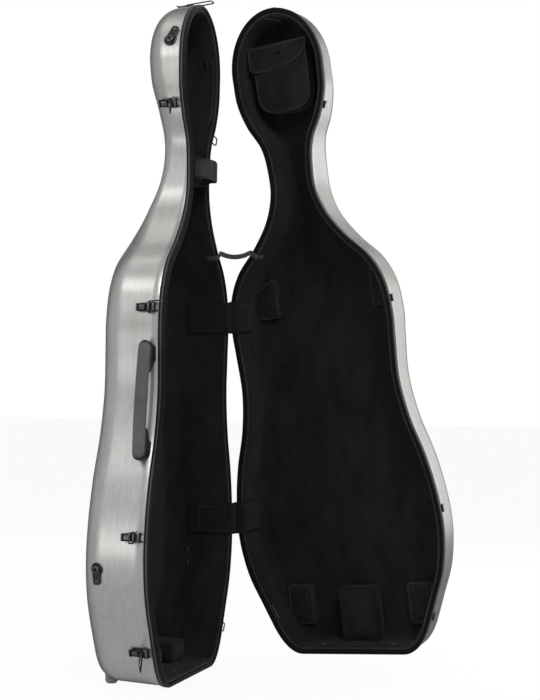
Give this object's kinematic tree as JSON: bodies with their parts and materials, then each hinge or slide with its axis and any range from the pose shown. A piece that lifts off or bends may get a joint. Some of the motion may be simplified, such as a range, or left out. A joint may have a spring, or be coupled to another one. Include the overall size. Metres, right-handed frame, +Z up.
{
  "type": "cello hard case",
  "caption": "Upright hard case for a cello with a deep lined base and a shallow lined lid, draw latches along the rim, a side carrying handle and a hinged side opening.",
  "frame": {"origin": "middle of the base rim band's flat bottom face, on the floor", "axes": "+Z up along the case to the head, +Y into the base away from its open side, +X towards the hinge side"},
  "size_m": [0.6184, 0.6445, 1.3571],
  "materials": {
    "shell": "brushed metallic silver lacquer",
    "band": "satin black",
    "lining": "black short-pile cloth over foam",
    "webbing": "dark grey woven webbing",
    "black_metal": "black nickel",
    "rubber": "matte grey rubber",
    "black_plastic": "matte"
  },
  "bodies": {
    "base": {"base_shell": "shell", "base_lining": "lining", "base_rim_band": "band", "latch_plate_head_front": "black_metal", "latch_plate_upper_bout_front": "black_metal", "latch_plate_lower_bout_front": "black_metal", "latch_plate_bottom_front": "black_metal", "latch_plate_head_hinge_side": "black_metal", "latch_plate_bottom_hinge_side": "black_metal", "latch_plate_top": "black_metal", "anchor_rosette_head_front": "black_metal", "anchor_rosette_bottom_front": "black_metal", "anchor_rosette_head_back": "black_metal", "anchor_rosette_bottom_back": "black_metal", "hinge_base_leaf_upper": "black_metal", "hinge_base_leaf_lower": "black_metal", "hinge_pin_upper": "black_metal", "hinge_pin_lower": "black_metal", "hinge_cover_upper": "lining", "hinge_cover_lower": "lining", "lid_stay_strap": "webbing", "handle_grip": "rubber", "handle_bracket_lower": "black_plastic", "handle_bracket_upper": "black_plastic", "foot_front_side": "rubber", "foot_hinge_side": "rubber", "neck_cradle": "lining", "neck_strap": "webbing"},
    "lid": {"lid_shell": "shell", "lid_lining": "lining", "lid_rim_band": "band", "latch_keeper_head_front": "black_metal", "latch_keeper_upper_bout_front": "black_metal", "latch_keeper_lower_bout_front": "black_metal", "latch_keeper_bottom_front": "black_metal", "latch_keeper_head_hinge_side": "black_metal", "latch_keeper_bottom_hinge_side": "black_metal", "latch_keeper_top": "black_metal", "hinge_lid_leaf_upper": "black_metal", "hinge_lid_leaf_lower": "black_metal", "pocket": "lining"},
    "lever_head_front": {"latch_lever_head_front": "black_metal"},
    "bail_head_front": {"latch_bail_head_front": "black_metal"},
    "lever_upper_bout_front": {"latch_lever_upper_bout_front": "black_metal"},
    "bail_upper_bout_front": {"latch_bail_upper_bout_front": "black_metal"},
    "lever_lower_bout_front": {"latch_lever_lower_bout_front": "black_metal"},
    "bail_lower_bout_front": {"latch_bail_lower_bout_front": "black_metal"},
    "lever_bottom_front": {"latch_lever_bottom_front": "black_metal"},
    "bail_bottom_front": {"latch_bail_bottom_front": "black_metal"},
    "lever_head_hinge_side": {"latch_lever_head_hinge_side": "black_metal"},
    "bail_head_hinge_side": {"latch_bail_head_hinge_side": "black_metal"},
    "lever_bottom_hinge_side": {"latch_lever_bottom_hinge_side": "black_metal"},
    "bail_bottom_hinge_side": {"latch_bail_bottom_hinge_side": "black_metal"},
    "lever_top": {"latch_lever_top": "black_metal"},
    "bail_top": {"latch_bail_top": "black_metal"},
    "tab_head_front": {"anchor_tab_head_front": "black_metal"},
    "tab_bottom_front": {"anchor_tab_bottom_front": "black_metal"},
    "tab_head_back": {"anchor_tab_head_back": "black_metal"},
    "tab_bottom_back": {"anchor_tab_bottom_back": "black_metal"},
    "flap": {"pocket_flap": "lining"}
  },
  "joints": [
    {"name": "lid_hinge", "type": "hinge", "parent": "base", "child": "lid", "pos_m": [0.24696, -0.0065, 0.29694], "axis": [-0.1286, 0, 0.9917], "range_deg": [-76, 8], "deforming": ["hinge_cover_upper", "hinge_cover_lower", "lid_stay_strap"]},
    {"name": "lever_head_front_swing", "type": "hinge", "parent": "base", "child": "lever_head_front", "pos_m": [-0.09431, 0.01768, 1.12513], "axis": [-0.4284, 0, 0.9036], "range_deg": [0, 165]},
    {"name": "bail_head_front_swing", "type": "hinge", "parent": "lever_head_front", "child": "bail_head_front", "pos_m": [-0.09398, 0.02667, 1.12528], "axis": [-0.4284, 0, 0.9036], "range_deg": [-165, 0]},
    {"name": "lever_upper_bout_front_swing", "type": "hinge", "parent": "base", "child": "lever_upper_bout_front", "pos_m": [-0.18889, 0.01768, 0.7201], "axis": [0.056, 0, 0.9984], "range_deg": [0, 165]},
    {"name": "bail_upper_bout_front_swing", "type": "hinge", "parent": "lever_upper_bout_front", "child": "bail_upper_bout_front", "pos_m": [-0.18853, 0.02667, 0.72008], "axis": [0.056, 0, 0.9984], "range_deg": [-165, 0]},
    {"name": "lever_lower_bout_front_swing", "type": "hinge", "parent": "base", "child": "lever_lower_bout_front", "pos_m": [-0.23966, 0.01768, 0.29211], "axis": [0.0623, 0, 0.9981], "range_deg": [0, 165]},
    {"name": "bail_lower_bout_front_swing", "type": "hinge", "parent": "lever_lower_bout_front", "child": "bail_lower_bout_front", "pos_m": [-0.2393, 0.02667, 0.29209], "axis": [0.0623, 0, 0.9981], "range_deg": [-165, 0]},
    {"name": "lever_bottom_front_swing", "type": "hinge", "parent": "base", "child": "lever_bottom_front", "pos_m": [-0.18908, 0.01768, 0.07223], "axis": [-0.3936, 0, 0.9193], "range_deg": [0, 165]},
    {"name": "bail_bottom_front_swing", "type": "hinge", "parent": "lever_bottom_front", "child": "bail_bottom_front", "pos_m": [-0.18875, 0.02667, 0.07237], "axis": [-0.3936, 0, 0.9193], "range_deg": [-165, 0]},
    {"name": "lever_head_hinge_side_swing", "type": "hinge", "parent": "base", "child": "lever_head_hinge_side", "pos_m": [0.08579, 0.01768, 1.10717], "axis": [-0.4284, 0, -0.9036], "range_deg": [0, 165]},
    {"name": "bail_head_hinge_side_swing", "type": "hinge", "parent": "lever_head_hinge_side", "child": "bail_head_hinge_side", "pos_m": [0.08547, 0.02667, 1.10733], "axis": [-0.4284, 0, -0.9036], "range_deg": [-165, 0]},
    {"name": "lever_bottom_hinge_side_swing", "type": "hinge", "parent": "base", "child": "lever_bottom_hinge_side", "pos_m": [0.19293, 0.01768, 0.08121], "axis": [-0.3936, 0, -0.9193], "range_deg": [0, 165]},
    {"name": "bail_bottom_hinge_side_swing", "type": "hinge", "parent": "lever_bottom_hinge_side", "child": "bail_bottom_hinge_side", "pos_m": [0.19259, 0.02667, 0.08135], "axis": [-0.3936, 0, -0.9193], "range_deg": [-165, 0]},
    {"name": "lever_top_swing", "type": "hinge", "parent": "base", "child": "lever_top", "pos_m": [0, 0.01768, 1.34204], "axis": [1, 0, 0], "range_deg": [0, 165]},
    {"name": "bail_top_swing", "type": "hinge", "parent": "lever_top", "child": "bail_top", "pos_m": [0, 0.02667, 1.34168], "axis": [1, 0, 0], "range_deg": [-165, 0]},
    {"name": "tab_head_front_swivel", "type": "hinge", "parent": "base", "child": "tab_head_front", "pos_m": [-0.10067, 0.02758, 1.25087], "axis": [-0.9427, 0.04, 0.3311], "continuous": true},
    {"name": "tab_bottom_front_swivel", "type": "hinge", "parent": "base", "child": "tab_bottom_front", "pos_m": [-0.23225, 0.10218, 0.22947], "axis": [-0.9684, 0.2273, -0.103], "continuous": true},
    {"name": "tab_head_back_swivel", "type": "hinge", "parent": "base", "child": "tab_head_back", "pos_m": [0.10067, 0.02758, 1.25087], "axis": [0.9427, 0.04, 0.3311], "continuous": true},
    {"name": "tab_bottom_back_swivel", "type": "hinge", "parent": "base", "child": "tab_bottom_back", "pos_m": [0.23225, 0.10218, 0.22947], "axis": [0.9684, 0.2273, -0.103], "continuous": true},
    {"name": "pocket_flap_swing", "type": "hinge", "parent": "lid", "child": "flap", "pos_m": [0.11611, -0.12292, 1.28627], "axis": [0.2545, 0.9622, -0.0967], "range_deg": [0, 95]}
  ],
  "couplings": [
    {"joint": "bail_head_front_swing", "follows": "lever_head_front_swing", "ratio": -1},
    {"joint": "bail_upper_bout_front_swing", "follows": "lever_upper_bout_front_swing", "ratio": -1},
    {"joint": "bail_lower_bout_front_swing", "follows": "lever_lower_bout_front_swing", "ratio": -1},
    {"joint": "bail_bottom_front_swing", "follows": "lever_bottom_front_swing", "ratio": -1},
    {"joint": "bail_head_hinge_side_swing", "follows": "lever_head_hinge_side_swing", "ratio": -1},
    {"joint": "bail_bottom_hinge_side_swing", "follows": "lever_bottom_hinge_side_swing", "ratio": -1},
    {"joint": "bail_top_swing", "follows": "lever_top_swing", "ratio": -1}
  ]
}
